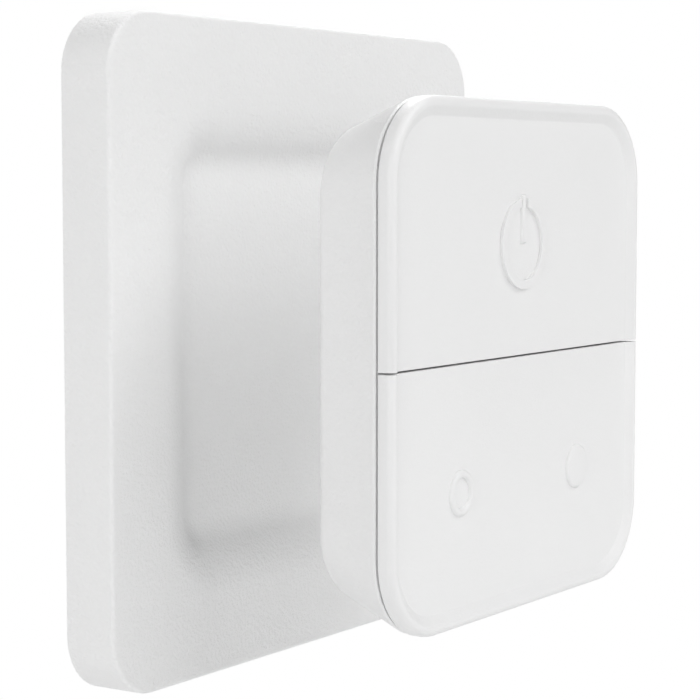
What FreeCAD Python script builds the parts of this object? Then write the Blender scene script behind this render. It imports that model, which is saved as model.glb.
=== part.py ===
import FreeCAD
import Part
import Sketcher

import math
import os

# Wireless remote wall switch, modelled in millimetres.
# The origin is the centre of the plate's wall face. The wall is the plane Y = 0, the front looks along -Y, up is +Z
# and +X is to the right seen from the front. The remote is held pulled_off in front of its docked place.

SIZES = {
    # Wall plate
    "plate_side": 80.0,
    "plate_depth": 7.0,
    "plate_corner": 7.3,
    "plate_edge": 0.5,
    "plate_wall": 1.8,
    "plate_face": 1.8,
    # Dished recess in the plate
    "dish_side": 60.2,
    "dish_corner": 10.2,
    "dish_run": 6.0,
    "dish_depth": 2.05,
    "dish_floor": 1.3,
    # Pieces behind the recess
    "steel_side": 46.0,
    "steel_corner": 3.0,
    "steel_thick": 0.8,
    "steel_gap": 0.2,
    "back_thick": 1.8,
    "back_gap": 0.15,
    "rib_thick": 1.2,
    "stake_bore": 2.4,
    "stake_gap": 0.15,
    "stake_inset": 6.6,
    "stake_sink": 0.6,
    "island_inset": 2.4,
    "tape_width": 58.0,
    "tape_height": 20.0,
    "tape_thick": 0.8,
    "tape_inset": 10.0,
    "tape_gap": 0.3,
    "tape_corner": 2.0,
    # Remote as a whole
    "pulled_off": 21.5,
    "hang_drop": 0.8,
    "remote_side": 61.6,
    "remote_corner": 9.95,
    "housing_depth": 7.95,
    "housing_wall": 1.8,
    "housing_floor": 1.6,
    "housing_rear_edge": 1.2,
    "housing_front_edge": 0.25,
    # Raised pad behind the remote
    "pad_side": 46.6,
    "pad_corner": 3.9,
    "pad_floor": 1.4,
    "pad_wall": 1.6,
    "pad_edge": 0.4,
    "dock_face_gap": 0.3,
    "dock_seat_gap": 0.05,
    # Magnets
    "magnet_bore": 8.0,
    "magnet_thick": 2.0,
    "magnet_place": 16.4,
    "cup_wall": 0.9,
    "cup_gap": 0.15,
    "cup_height": 1.5,
    # Battery and its cover
    "cell_width": 20.0,
    "cell_thick": 3.2,
    "cell_cap_inset": 1.2,
    "cell_cap_thick": 0.6,
    "cell_edge": 0.2,
    "cell_gap": 0.05,
    "cover_flange": 3.45,
    "cover_flange_thick": 0.6,
    "cover_flange_gap": 0.05,
    "cover_gap": 0.3,
    "cover_ring_gap": 0.35,
    "cover_ring_wall": 1.4,
    "cover_ring_height": 1.4,
    "lug_reach": 2.4,
    "lug_thick": 0.8,
    "lug_lift": 0.25,
    "lug_angle": 26.0,
    "lug_count": 3,
    "cover_turn": 38.0,
    "coin_slot_length": 14.0,
    "coin_slot_width": 1.8,
    "coin_slot_depth": 0.7,
    "notch_gap": 3.0,
    "bay_gap": 0.35,
    "bay_wall": 1.2,
    "bay_height": 2.3,
    # Circuit board
    "board_lift": 3.1,
    "board_thick": 1.0,
    "board_side": 54.0,
    "board_corner": 7.0,
    "screw_place": 23.6,
    "screw_bore": 2.0,
    "screw_gap": 0.1,
    "screw_head": 3.6,
    "screw_head_thick": 1.1,
    "screw_length": 5.2,
    "boss_wall": 1.3,
    "module_width": 14.0,
    "module_height": 12.0,
    "module_thick": 1.7,
    "module_corner": 0.8,
    "module_x": -14.5,
    "module_z": 15.5,
    "clip_width": 5.0,
    "clip_thick": 0.3,
    "clip_gap": 0.12,
    "clip_foot": 3.0,
    "clip_reach": 1.6,
    "contact_width": 8.0,
    "contact_nub": 3.2,
    # Dome switches
    "switch_side": 5.2,
    "switch_thick": 1.5,
    "switch_cup": 1.0,
    "stem_bore": 1.8,
    "stem_gap": 0.2,
    "stem_length": 0.95,
    "stem_sink": 0.5,
    "power_switch_z": 14.4,
    "dim_switch_x": 21.5,
    "dim_switch_z": -15.4,
    # Frame under the keys
    "frame_lift": 5.0,
    "frame_thick": 1.2,
    "frame_gap": 0.5,
    "frame_window_gap": 0.5,
    # Keys
    "power_travel": 0.3,
    "key_clearance": 0.09,
    "key_face": 1.53,
    "key_top": 1.5,
    "key_rim": 2.85,
    "key_edge": 0.6,
    "key_bevel": 2.3,
    "key_inner_corner": 7.6,
    "key_seam": 0.25,
    "lip_gap": 0.35,
    "lip_wall": 1.1,
    "lip_depth": 1.1,
    "plunger_bore": 3.2,
    "leg_width": 3.2,
    "leg_thick": 1.3,
    "leg_x": 17.0,
    "leg_z": 5.4,
    "leg_pitch": 19.0,
    "barb_reach": 0.6,
    "barb_thick": 0.4,
    "barb_gap": 0.1,
    "leg_gap": 0.3,
    # Rocker pivot
    "pin_bore": 1.5,
    "pin_lift": 6.4,
    "pin_seat": 2.2,
    "pin_seat_gap": 0.03,
    "pin_run_gap": 0.06,
    "eye_wall": 0.55,
    "eye_thick": 2.2,
    "eye_gap": 0.35,
    "eye_top": 6.9,
    "eye_bottom": 22.0,
    "frame_eye_width": 4.0,
    "frame_eye_thick": 3.0,
}

doc = FreeCAD.newDocument("wireless_wall_switch")
sheet = doc.addObject("Spreadsheet::Sheet", "Sizes")
for row, (alias, value) in enumerate(SIZES.items(), start=1):
    sheet.set(f"A{row}", alias)
    sheet.set(f"B{row}", str(value))
    sheet.setAlias(f"B{row}", alias)
doc.recompute()


def size(name):
    """The number that the sheet holds under this name."""
    return float(getattr(sheet, name))


# Lengths that several pieces share, as expressions on the sheet. Depths are measured from a piece's own origin
# plane towards the front.
REMOTE_REAR = "(Sizes.plate_depth + Sizes.dock_face_gap + Sizes.pulled_off)"
PAD_HEIGHT = "(Sizes.dish_depth + Sizes.dock_face_gap - Sizes.dock_seat_gap)"
BAY_FLOOR = f"(Sizes.pad_floor - {PAD_HEIGHT})"
CELL_REAR = f"({BAY_FLOOR} + Sizes.cell_gap)"
BOARD_FRONT = "(Sizes.board_lift + Sizes.board_thick)"
SWITCH_TOP = f"({BOARD_FRONT} + Sizes.switch_thick)"
STEM_TOP = f"({SWITCH_TOP} + Sizes.stem_length - Sizes.stem_sink)"
FRAME_TOP = "(Sizes.frame_lift + Sizes.frame_thick)"
KEY_REAR = "(Sizes.housing_depth + Sizes.power_travel + Sizes.key_clearance)"
KEY_FACE = "(Sizes.housing_depth + Sizes.key_face)"
KEY_INNER = f"({KEY_FACE} - Sizes.key_top)"
KEY_RIM = "(Sizes.housing_depth + Sizes.key_rim)"
EYE_RADIUS = "(Sizes.pin_bore / 2 + Sizes.pin_run_gap + Sizes.eye_wall)"

SUB_PARTS = []


def plane(part, role):
    return next(feature for feature in part.Origin.OriginFeatures if feature.Role == role)


def sub_part(name, on_remote=False):
    """A body with its own name. Remote pieces are drawn about the remote's centre, from its rear plane forward."""
    part = doc.addObject("PartDesign::Body", name)
    part.Label = name
    if on_remote:
        part.setExpression(".Placement.Base.y", f"-{REMOTE_REAR}")
        part.setExpression(".Placement.Base.z", "-Sizes.hang_drop")
    SUB_PARTS.append(part)
    return part


def sketch_at(part, depth, x="0", z="0"):
    """An empty sketch parallel to the wall, with its centre at x, z and its plane at this depth."""
    sketch = part.newObject("Sketcher::SketchObject", part.Name + "_outline")
    sketch.AttachmentSupport = (plane(part, "XZ_Plane"), [""])
    sketch.MapMode = "FlatFace"
    sketch.setExpression(".AttachmentOffset.Base.x", x)
    sketch.setExpression(".AttachmentOffset.Base.y", z)
    sketch.setExpression(".AttachmentOffset.Base.z", depth)
    return sketch


def name_last(sketch, name, expression):
    """Gives the sketch's last constraint a name and ties it to the sheet."""
    sketch.renameConstraint(sketch.ConstraintCount - 1, name)
    sketch.setExpression(f".Constraints.{name}", expression)


# A sketch is drawn this wide first, and then takes its real sizes from the sheet.
DRAWN = 10.0


def circle(part, depth, width, x="0", z="0"):
    sketch = sketch_at(part, depth, x, z)
    sketch.addGeometry(Part.Circle(FreeCAD.Vector(0, 0, 0), FreeCAD.Vector(0, 0, 1), DRAWN / 2), False)
    sketch.addConstraint(Sketcher.Constraint("Coincident", 0, 3, -1, 1))
    sketch.addConstraint(Sketcher.Constraint("Diameter", 0, DRAWN))
    name_last(sketch, "width", width)
    return sketch


def rectangle(part, depth, width, height, x="0", z="0"):
    sketch = sketch_at(part, depth, x, z)
    half = DRAWN / 2
    places = ((-half, -half), (half, -half), (half, half), (-half, half))
    corners = [FreeCAD.Vector(*place, 0) for place in places]
    for n in range(4):
        sketch.addGeometry(Part.LineSegment(corners[n], corners[(n + 1) % 4]), False)
    for n in range(4):
        sketch.addConstraint(Sketcher.Constraint("Coincident", n, 2, (n + 1) % 4, 1))
        sketch.addConstraint(Sketcher.Constraint("Horizontal" if n % 2 == 0 else "Vertical", n))
    sketch.addConstraint(Sketcher.Constraint("Symmetric", 0, 1, 2, 1, -1, 1))
    sketch.addConstraint(Sketcher.Constraint("DistanceX", 0, 1, 0, 2, DRAWN))
    name_last(sketch, "width", width)
    sketch.addConstraint(Sketcher.Constraint("DistanceY", 1, 1, 1, 2, DRAWN))
    name_last(sketch, "height", height)
    return sketch


def rounded(part, depth, width, height, radius, x="0", z="0"):
    """A rectangle with four equal tangent corners."""
    sketch = sketch_at(part, depth, x, z)
    side = DRAWN
    r = DRAWN / 3
    flat = side - r
    lines = (
        ((-flat, -side), (flat, -side)),
        ((side, -flat), (side, flat)),
        ((flat, side), (-flat, side)),
        ((-side, flat), (-side, -flat)),
    )
    for start, end in lines:
        sketch.addGeometry(Part.LineSegment(FreeCAD.Vector(*start, 0), FreeCAD.Vector(*end, 0)), False)
    for n, centre in enumerate(((flat, -flat), (flat, flat), (-flat, flat), (-flat, -flat))):
        round_corner = Part.Circle(FreeCAD.Vector(*centre, 0), FreeCAD.Vector(0, 0, 1), r)
        start = math.radians(-90 + 90 * n)
        sketch.addGeometry(Part.ArcOfCircle(round_corner, start, start + math.pi / 2), False)
    for n in range(4):
        sketch.addConstraint(Sketcher.Constraint("Tangent", n, 2, 4 + n, 1))
        sketch.addConstraint(Sketcher.Constraint("Tangent", 4 + n, 2, (n + 1) % 4, 1))
        sketch.addConstraint(Sketcher.Constraint("Horizontal" if n % 2 == 0 else "Vertical", n))
    for n in range(5, 8):
        sketch.addConstraint(Sketcher.Constraint("Equal", 4, n))
    sketch.addConstraint(Sketcher.Constraint("Symmetric", 4, 3, 6, 3, -1, 1))
    sketch.addConstraint(Sketcher.Constraint("Radius", 4, r))
    name_last(sketch, "corner", radius)
    sketch.addConstraint(Sketcher.Constraint("DistanceX", 3, 1, 1, 1, 2 * side))
    name_last(sketch, "width", width)
    sketch.addConstraint(Sketcher.Constraint("DistanceY", 0, 1, 2, 1, 2 * side))
    name_last(sketch, "height", height)
    return sketch


def square(part, depth, side, radius, x="0", z="0"):
    return rounded(part, depth, side, side, radius, x, z)


def pad(part, sketch, length):
    """Adds material from the sketch towards the front."""
    feature = part.newObject("PartDesign::Pad", part.Name + "_pad")
    feature.Profile = sketch
    feature.setExpression("Length", length)
    doc.recompute()
    return feature


def pocket(part, sketch, length, to_front=True):
    """Cuts material from the sketch towards the front, or towards the wall."""
    before = part.Shape.Volume
    feature = part.newObject("PartDesign::Pocket", part.Name + "_pocket")
    feature.Profile = sketch
    feature.Reversed = to_front
    feature.setExpression("Length", length)
    doc.recompute()
    if part.Shape.Volume > before - 1e-3:
        raise ValueError(f"{feature.Name} cuts nothing")
    return feature


def edges_where(shape, test):
    """Names of the shape's edges whose every sampled point passes the test."""
    names = []
    for n, edge in enumerate(shape.Edges, start=1):
        points = edge.discretize(5)
        if all(test(p) for p in points):
            names.append(f"Edge{n}")
    return names


def outer_edges(part, depth, half):
    """Edges that lie at this depth and reach no nearer to the middle than the outline's corners allow."""

    def test(p):
        on_plane = abs(-p.y - depth) < 1e-3
        return on_plane and max(abs(p.x), abs(p.z)) > half - 1e-3 - 0.3 * size("remote_corner")

    return edges_where(part.Tip.Shape, test)


def fillet(part, edges, radius):
    base = part.Tip
    feature = part.newObject("PartDesign::Fillet", part.Name + "_round")
    feature.Base = (base, edges)
    feature.setExpression("Radius", radius)
    doc.recompute()
    return feature


def break_edges(part, edges, width):
    """A narrow flat chamfer on these edges."""
    base = part.Tip
    feature = part.newObject("PartDesign::Chamfer", part.Name + "_chamfer")
    feature.Base = (base, edges)
    feature.setExpression("Size", width)
    doc.recompute()
    return feature


# Wall plate: a moulded square shell, open behind, with a dished square recess in its face.
FLOOR_SIDE = "(Sizes.dish_side - 2 * Sizes.dish_run)"
FLOOR_CORNER = "(Sizes.dish_corner - Sizes.dish_run)"
FLOOR_FRONT = "(Sizes.plate_depth - Sizes.dish_depth)"
FLOOR_BACK = f"({FLOOR_FRONT} - Sizes.dish_floor)"
FACE_BACK = "(Sizes.plate_depth - Sizes.plate_face)"

plate = sub_part("wall_plate")
pad(plate, square(plate, "0", "Sizes.plate_side", "Sizes.plate_corner"), "Sizes.plate_depth")
fillet(plate, outer_edges(plate, size("plate_depth"), size("plate_side") / 2), "Sizes.plate_edge")
hollow = square(
    plate, "0", "Sizes.plate_side - 2 * Sizes.plate_wall", "Sizes.plate_corner - Sizes.plate_wall"
)
pocket(plate, hollow, FACE_BACK)
island = square(
    plate,
    FLOOR_BACK,
    "Sizes.dish_side - 2 * Sizes.island_inset",
    "Sizes.dish_corner - Sizes.island_inset",
)
pad(plate, island, f"{FACE_BACK} - {FLOOR_BACK}")

# The recess has a flat floor, and a wall that leaves the face on a tangent and falls on an arc to the floor.
pocket(plate, square(plate, FLOOR_FRONT, FLOOR_SIDE, FLOOR_CORNER), "Sizes.dish_depth")
rim_line = square(plate, "Sizes.plate_depth", "Sizes.dish_side", "Sizes.dish_corner")
section = plate.newObject("Sketcher::SketchObject", "dish_section")
section.AttachmentSupport = (plane(plate, "YZ_Plane"), [""])
section.MapMode = "FlatFace"
section.setExpression(".AttachmentOffset.Base.z", "Sizes.dish_corner - Sizes.dish_side / 2")
rim = size("dish_side") / 2
run = size("dish_run")
deep = size("dish_depth")
face = -size("plate_depth")
overlap = 0.5
arc_radius = (run**2 + deep**2) / (2 * deep)
arc = Part.Circle(FreeCAD.Vector(face + arc_radius, rim, 0), FreeCAD.Vector(0, 0, 1), arc_radius)
section.addGeometry(Part.ArcOfCircle(arc, math.pi, math.pi + math.asin(run / arc_radius)), False)
corners = [
    FreeCAD.Vector(face + deep, rim - run, 0),
    FreeCAD.Vector(face + deep, rim - run - overlap, 0),
    FreeCAD.Vector(face, rim - run - overlap, 0),
    FreeCAD.Vector(face, rim, 0),
]
for start, end in zip(corners, corners[1:]):
    section.addGeometry(Part.LineSegment(start, end), False)
section.addConstraint(Sketcher.Constraint("Coincident", 0, 2, 1, 1))
section.addConstraint(Sketcher.Constraint("Coincident", 1, 2, 2, 1))
section.addConstraint(Sketcher.Constraint("Coincident", 2, 2, 3, 1))
section.addConstraint(Sketcher.Constraint("Coincident", 3, 2, 0, 1))
section.addConstraint(Sketcher.Constraint("Vertical", 1))
section.addConstraint(Sketcher.Constraint("Horizontal", 2))
section.addConstraint(Sketcher.Constraint("Vertical", 3))
section.addConstraint(Sketcher.Constraint("Horizontal", 0, 3, 0, 1))
section.addConstraint(Sketcher.Constraint("DistanceY", 1, 2, 1, 1, overlap))
section.addConstraint(Sketcher.Constraint("DistanceX", 0, 1, -1, 1, -face))
name_last(section, "face", "Sizes.plate_depth")
section.addConstraint(Sketcher.Constraint("DistanceY", -1, 1, 0, 1, rim))
name_last(section, "rim", "Sizes.dish_side / 2")
section.addConstraint(Sketcher.Constraint("DistanceX", 0, 1, 0, 2, deep))
name_last(section, "drop", "Sizes.dish_depth")
section.addConstraint(Sketcher.Constraint("DistanceY", 0, 2, 0, 1, run))
name_last(section, "run", "Sizes.dish_run")
doc.recompute()
uncut = plate.Shape.Volume
dish_wall = plate.newObject("PartDesign::SubtractivePipe", "dish_wall")
dish_wall.Profile = section
dish_wall.Spine = (rim_line, ["Edge3", "Edge7", "Edge4", "Edge8", "Edge1", "Edge5", "Edge2", "Edge6"])
doc.recompute()
if plate.Shape.Volume > uncut - 100:
    raise ValueError("the recess wall isn't cut")

# Four stakes inside the plate hold its back plate.
STAKE_PLACE = "(Sizes.plate_side / 2 - Sizes.stake_inset)"
CORNERS = (("-", ""), ("", ""), ("-", "-"), ("", "-"))
for side, level in CORNERS:
    stake = circle(
        plate, "Sizes.stake_sink", "Sizes.stake_bore", f"{side}{STAKE_PLACE}", f"{level}{STAKE_PLACE}"
    )
    pad(plate, stake, f"{FACE_BACK} - Sizes.stake_sink")


# Steel plate: the sheet behind the recess floor that the remote's magnets pull on.
steel = sub_part("steel_plate")
STEEL_REAR = f"({FLOOR_BACK} - Sizes.steel_thick)"
pad(steel, square(steel, STEEL_REAR, "Sizes.steel_side", "Sizes.steel_corner"), "Sizes.steel_thick")


# Back plate: closes the shell, holds the steel in a tray, and has a shallow pocket for each tape strip.
back = sub_part("back_plate")
back_outline = square(
    back,
    "0",
    "Sizes.plate_side - 2 * (Sizes.plate_wall + Sizes.back_gap)",
    "Sizes.plate_corner - Sizes.plate_wall - Sizes.back_gap",
)
pad(back, back_outline, "Sizes.back_thick")
TRAY_SIDE = "(Sizes.steel_side + 2 * Sizes.steel_gap)"
TRAY_CORNER = "(Sizes.steel_corner + Sizes.steel_gap)"
tray = square(
    back, "Sizes.back_thick", f"{TRAY_SIDE} + 2 * Sizes.rib_thick", f"{TRAY_CORNER} + Sizes.rib_thick"
)
pad(back, tray, f"{FLOOR_BACK} - Sizes.back_thick")
pocket(back, square(back, STEEL_REAR, TRAY_SIDE, TRAY_CORNER), f"{FLOOR_BACK} - {STEEL_REAR}")
under_steel = square(
    back, "Sizes.back_thick", f"{TRAY_SIDE} - 2 * Sizes.rib_thick", "Sizes.steel_corner"
)
pocket(back, under_steel, f"{STEEL_REAR} - Sizes.back_thick")
for side, level in CORNERS:
    hole = circle(
        back,
        "0",
        "Sizes.stake_bore + 2 * Sizes.stake_gap",
        f"{side}{STAKE_PLACE}",
        f"{level}{STAKE_PLACE}",
    )
    pocket(back, hole, "Sizes.back_thick")
TAPE_PLACE = "(Sizes.plate_side / 2 - Sizes.tape_inset - Sizes.tape_height / 2)"
for level in ("", "-"):
    tape_pocket = rounded(
        back,
        "0",
        "Sizes.tape_width + 2 * Sizes.tape_gap",
        "Sizes.tape_height + 2 * Sizes.tape_gap",
        "Sizes.tape_corner + Sizes.tape_gap",
        "0",
        f"{level}{TAPE_PLACE}",
    )
    pocket(back, tape_pocket, "Sizes.tape_thick")


# Adhesive pads: two strips of double-sided foam tape, flush with the wall face.
for name, level in (("adhesive_pad_upper", ""), ("adhesive_pad_lower", "-")):
    tape = sub_part(name)
    strip = rounded(
        tape,
        "0",
        "Sizes.tape_width",
        "Sizes.tape_height",
        "Sizes.tape_corner",
        "0",
        f"{level}{TAPE_PLACE}",
    )
    pad(tape, strip, "Sizes.tape_thick")


# Rear housing: a moulded tray with a raised square pad behind, which seats in the recess of the wall plate.
housing = sub_part("rear_housing", on_remote=True)
pad(housing, square(housing, "0", "Sizes.remote_side", "Sizes.remote_corner"), "Sizes.housing_depth")
half = size("remote_side") / 2
fillet(housing, outer_edges(housing, 0, half), "Sizes.housing_rear_edge")
break_edges(housing, outer_edges(housing, size("housing_depth"), half), "Sizes.housing_front_edge")
pad(housing, square(housing, f"-{PAD_HEIGHT}", "Sizes.pad_side", "Sizes.pad_corner"), PAD_HEIGHT)
pad_rear = -(size("dish_depth") + size("dock_face_gap") - size("dock_seat_gap"))
break_edges(housing, outer_edges(housing, pad_rear, size("pad_side") / 2), "Sizes.pad_edge")
cavity = square(
    housing,
    "Sizes.housing_floor",
    "Sizes.remote_side - 2 * Sizes.housing_wall",
    "Sizes.remote_corner - Sizes.housing_wall",
)
pocket(housing, cavity, "Sizes.housing_depth - Sizes.housing_floor")
pad_cavity = square(
    housing, BAY_FLOOR, "Sizes.pad_side - 2 * Sizes.pad_wall", "Sizes.pad_corner - Sizes.pad_wall"
)
pocket(housing, pad_cavity, f"Sizes.housing_floor - {BAY_FLOOR}")

# A round wall closes the battery bay off from the board. The mouth has a step for the cover's flange.
RING_RADIUS = "(Sizes.cell_width / 2 + Sizes.cover_ring_gap + Sizes.cover_ring_wall)"
LUG_RADIUS = f"({RING_RADIUS} + Sizes.lug_reach)"
BAY_RADIUS = f"({LUG_RADIUS} + 2 * Sizes.bay_gap)"
pad(housing, circle(housing, BAY_FLOOR, f"2 * ({BAY_RADIUS} + Sizes.bay_wall)"), "Sizes.bay_height")
pocket(housing, circle(housing, BAY_FLOOR, f"2 * {BAY_RADIUS}"), "Sizes.bay_height")
FLANGE_RADIUS = f"({RING_RADIUS} + Sizes.cover_flange)"
mouth = circle(housing, f"-{PAD_HEIGHT}", f"2 * ({RING_RADIUS} + Sizes.cover_gap)")
pocket(housing, mouth, "Sizes.pad_floor")
flange_seat = circle(housing, f"-{PAD_HEIGHT}", f"2 * ({FLANGE_RADIUS} + Sizes.cover_gap)")
pocket(housing, flange_seat, "Sizes.cover_flange_thick + Sizes.cover_flange_gap")


def radial_box(part, inner, outer, low, high, turn=None):
    """A rectangle in a plane through the remote's axis, from radius inner to outer and depth low to high."""
    sketch = part.newObject("Sketcher::SketchObject", part.Name + "_section")
    sketch.AttachmentSupport = (plane(part, "XY_Plane"), [""])
    sketch.MapMode = "FlatFace"
    if turn:
        upright = FreeCAD.Vector(0, 1, 0)
        sketch.AttachmentOffset = FreeCAD.Placement(FreeCAD.Vector(), FreeCAD.Rotation(upright, 30))
        sketch.setExpression(".AttachmentOffset.Rotation.Angle", turn)
    near = DRAWN / 2
    rise = DRAWN / 5
    corners = ((near, -rise), (DRAWN, -rise), (DRAWN, rise), (near, rise))
    box = [FreeCAD.Vector(*corner, 0) for corner in corners]
    for n in range(4):
        sketch.addGeometry(Part.LineSegment(box[n], box[(n + 1) % 4]), False)
    for n in range(4):
        sketch.addConstraint(Sketcher.Constraint("Coincident", n, 2, (n + 1) % 4, 1))
        sketch.addConstraint(Sketcher.Constraint("Horizontal" if n % 2 == 0 else "Vertical", n))
    sketch.addConstraint(Sketcher.Constraint("DistanceX", -1, 1, 0, 1, near))
    name_last(sketch, "inner", inner)
    sketch.addConstraint(Sketcher.Constraint("DistanceX", -1, 1, 0, 2, DRAWN))
    name_last(sketch, "outer", outer)
    sketch.addConstraint(Sketcher.Constraint("DistanceY", 0, 1, -1, 1, rise))
    name_last(sketch, "high", high)
    sketch.addConstraint(Sketcher.Constraint("DistanceY", 2, 1, -1, 1, -rise))
    name_last(sketch, "low", low)
    return sketch


def around_axis(part, kind, sketch, angle):
    """Sweeps the section about the remote's own axis, half to each side, and repeats it round the axis."""
    feature = part.newObject(kind, part.Name + "_sector")
    feature.Profile = sketch
    feature.ReferenceAxis = (plane(part, "Y_Axis"), [""])
    feature.Midplane = True
    feature.setExpression("Angle", angle)
    doc.recompute()
    pattern = part.newObject("PartDesign::PolarPattern", part.Name + "_ring")
    pattern.Originals = [feature]
    pattern.Axis = (plane(part, "Y_Axis"), [""])
    pattern.Angle = 360
    pattern.setExpression("Occurrences", "Sizes.lug_count")
    part.Tip = pattern
    doc.recompute()
    return feature


notch = radial_box(
    housing,
    f"{RING_RADIUS} - Sizes.cover_gap",
    f"{LUG_RADIUS} + Sizes.bay_gap",
    f"-{PAD_HEIGHT}",
    BAY_FLOOR,
    "Sizes.cover_turn",
)
whole = housing.Shape.Volume
around_axis(housing, "PartDesign::Groove", notch, "Sizes.lug_angle + 2 * Sizes.notch_gap")
if housing.Shape.Volume > whole - 1:
    raise ValueError("the cover's notches aren't cut")

# Each magnet has a cup in a corner of the pad, and each screw a boss in a corner of the tray.
MAGNETS = (
    ("magnet_upper_left", "-", ""),
    ("magnet_upper_right", "", ""),
    ("magnet_lower_left", "-", "-"),
    ("magnet_lower_right", "", "-"),
)
CUP_BORE = "(Sizes.magnet_bore + 2 * Sizes.cup_gap)"
SCREW_HOLE = "(Sizes.screw_bore + 2 * Sizes.screw_gap)"
BOSS_WIDTH = "(Sizes.screw_bore + 2 * Sizes.boss_wall)"
SCREW_TIP = f"({FRAME_TOP} - Sizes.screw_length)"
for name, side, level in MAGNETS:
    place = (f"{side}Sizes.magnet_place", f"{level}Sizes.magnet_place")
    pad(housing, circle(housing, BAY_FLOOR, f"{CUP_BORE} + 2 * Sizes.cup_wall", *place), "Sizes.cup_height")
    pocket(housing, circle(housing, BAY_FLOOR, CUP_BORE, *place), "Sizes.cup_height")
for side, level in CORNERS:
    place = (f"{side}Sizes.screw_place", f"{level}Sizes.screw_place")
    boss_height = "Sizes.board_lift - Sizes.housing_floor"
    pad(housing, circle(housing, "Sizes.housing_floor", BOSS_WIDTH, *place), boss_height)
    screw_hole = circle(housing, f"{SCREW_TIP} - Sizes.screw_gap", SCREW_HOLE, *place)
    pocket(housing, screw_hole, f"Sizes.board_lift - {SCREW_TIP} + Sizes.screw_gap")


# Magnets: four sintered discs, which hold the remote to the steel plate.
for name, side, level in MAGNETS:
    magnet = sub_part(name, on_remote=True)
    disc = circle(
        magnet, BAY_FLOOR, "Sizes.magnet_bore", f"{side}Sizes.magnet_place", f"{level}Sizes.magnet_place"
    )
    pad(magnet, disc, "Sizes.magnet_thick")


# Battery cover: a flanged disc with a ring that holds the cell and three lugs that lock behind the mouth's edge.
cover = sub_part("battery_cover", on_remote=True)
pad(cover, circle(cover, f"-{PAD_HEIGHT}", f"2 * {FLANGE_RADIUS}"), "Sizes.cover_flange_thick")
hub = circle(cover, f"-{PAD_HEIGHT}", f"2 * {RING_RADIUS}")
pad(cover, hub, "Sizes.pad_floor + Sizes.cover_ring_height")
lug = radial_box(
    cover,
    f"{RING_RADIUS} - Sizes.cover_gap",
    LUG_RADIUS,
    f"{BAY_FLOOR} + Sizes.lug_lift",
    f"{BAY_FLOOR} + Sizes.lug_lift + Sizes.lug_thick",
)
around_axis(cover, "PartDesign::Revolution", lug, "Sizes.lug_angle")
cell_seat = circle(cover, BAY_FLOOR, f"2 * ({RING_RADIUS} - Sizes.cover_ring_wall)")
pocket(cover, cell_seat, "Sizes.cover_ring_height")
coin_slot = rectangle(cover, f"-{PAD_HEIGHT}", "Sizes.coin_slot_length", "Sizes.coin_slot_width")
pocket(cover, coin_slot, "Sizes.coin_slot_depth")


# Coin cell: a steel can with a smaller negative cap towards the board.
cell = sub_part("coin_cell", on_remote=True)
can_height = "Sizes.cell_thick - Sizes.cell_cap_thick"
pad(cell, circle(cell, CELL_REAR, "Sizes.cell_width"), can_height)
cap_outline = circle(cell, CELL_REAR, "Sizes.cell_width - 2 * Sizes.cell_cap_inset")
pad(cell, cap_outline, "Sizes.cell_thick")
rim_edges = edges_where(cell.Tip.Shape, lambda p: math.hypot(p.x, p.z) > size("cell_width") / 2 - 1e-3)
ring_edges = [name for name in rim_edges if cell.Tip.Shape.getElement(name).isClosed()]
break_edges(cell, ring_edges, "Sizes.cell_edge")
CELL_FRONT = f"({CELL_REAR} + Sizes.cell_thick)"


# Circuit board: a square of glass-fibre laminate on the four bosses.
board = sub_part("circuit_board", on_remote=True)
board_outline = square(board, "Sizes.board_lift", "Sizes.board_side", "Sizes.board_corner")
pad(board, board_outline, "Sizes.board_thick")
for side, level in CORNERS:
    place = (f"{side}Sizes.screw_place", f"{level}Sizes.screw_place")
    pocket(board, circle(board, "Sizes.board_lift", SCREW_HOLE, *place), "Sizes.board_thick")


# Positive clip: a bent spring strip, soldered behind the board, that presses on the side of the cell.
clip = sub_part("positive_clip", on_remote=True)
CLIP_INNER = "(Sizes.cell_width / 2 + Sizes.clip_gap)"
clip_foot = rectangle(
    clip,
    "Sizes.board_lift - Sizes.clip_thick",
    "Sizes.clip_foot",
    "Sizes.clip_width",
    f"-{CLIP_INNER} - Sizes.clip_foot / 2",
)
pad(clip, clip_foot, "Sizes.clip_thick")
clip_leg = rectangle(
    clip,
    f"{CELL_REAR} + Sizes.clip_reach",
    "Sizes.clip_thick",
    "Sizes.clip_width",
    f"-{CLIP_INNER} - Sizes.clip_thick / 2",
)
pad(clip, clip_leg, f"Sizes.board_lift - {CELL_REAR} - Sizes.clip_reach")


# Negative contact: a pressed disc behind the board with a raised nub that meets the cell's cap.
contact = sub_part("negative_contact", on_remote=True)
contact_disc = circle(contact, "Sizes.board_lift - Sizes.clip_thick", "Sizes.contact_width")
pad(contact, contact_disc, "Sizes.clip_thick")
pad(contact, circle(contact, CELL_FRONT, "Sizes.contact_nub"), f"Sizes.board_lift - {CELL_FRONT}")


# Radio module: a small shielded box on the front of the board.
module = sub_part("radio_module", on_remote=True)
shield = rounded(
    module,
    BOARD_FRONT,
    "Sizes.module_width",
    "Sizes.module_height",
    "Sizes.module_corner",
    "Sizes.module_x",
    "Sizes.module_z",
)
pad(module, shield, "Sizes.module_thick")


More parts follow.
